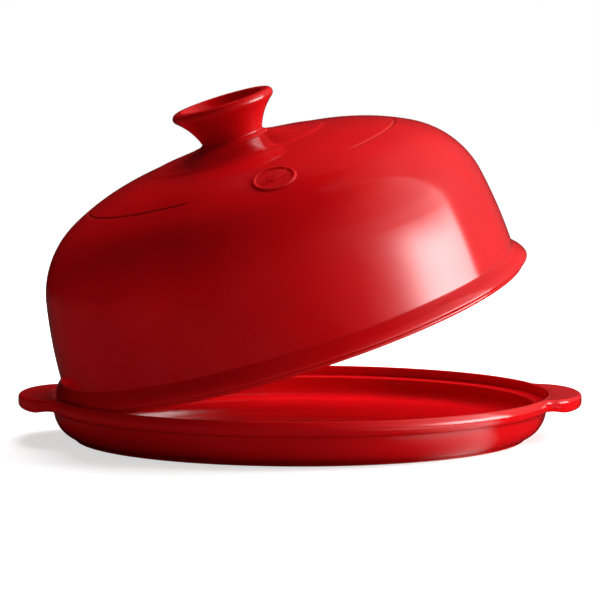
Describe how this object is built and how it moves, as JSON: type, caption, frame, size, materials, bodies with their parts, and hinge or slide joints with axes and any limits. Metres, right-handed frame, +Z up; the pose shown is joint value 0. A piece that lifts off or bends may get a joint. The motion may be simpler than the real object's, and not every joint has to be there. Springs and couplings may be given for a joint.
{
  "type": "bread cloche",
  "caption": "Red glazed bread cloche: a domed lid with a flared knob, tipped open on the rim of a round footed dish with two lug handles.",
  "frame": {"origin": "under the middle of the dish, on the surface it stands on", "axes": "+Z up, +X towards the right-hand handle, -Y towards the viewer"},
  "size_m": [0.323, 0.2912, 0.2011],
  "materials": {
    "red_glaze": "gloss"
  },
  "bodies": {
    "base": {"base_dish": "red_glaze", "left_handle": "red_glaze", "right_handle": "red_glaze"},
    "cloche": {"cloche_dome": "red_glaze", "knob": "red_glaze"}
  },
  "joints": [
    {"name": "cloche_tip", "type": "hinge", "parent": "base", "child": "cloche", "pos_m": [-0.12906, -0.04094, 0.026], "axis": [0.3024, -0.9532, 0], "range_deg": [-17.8, 42.2]}
  ]
}
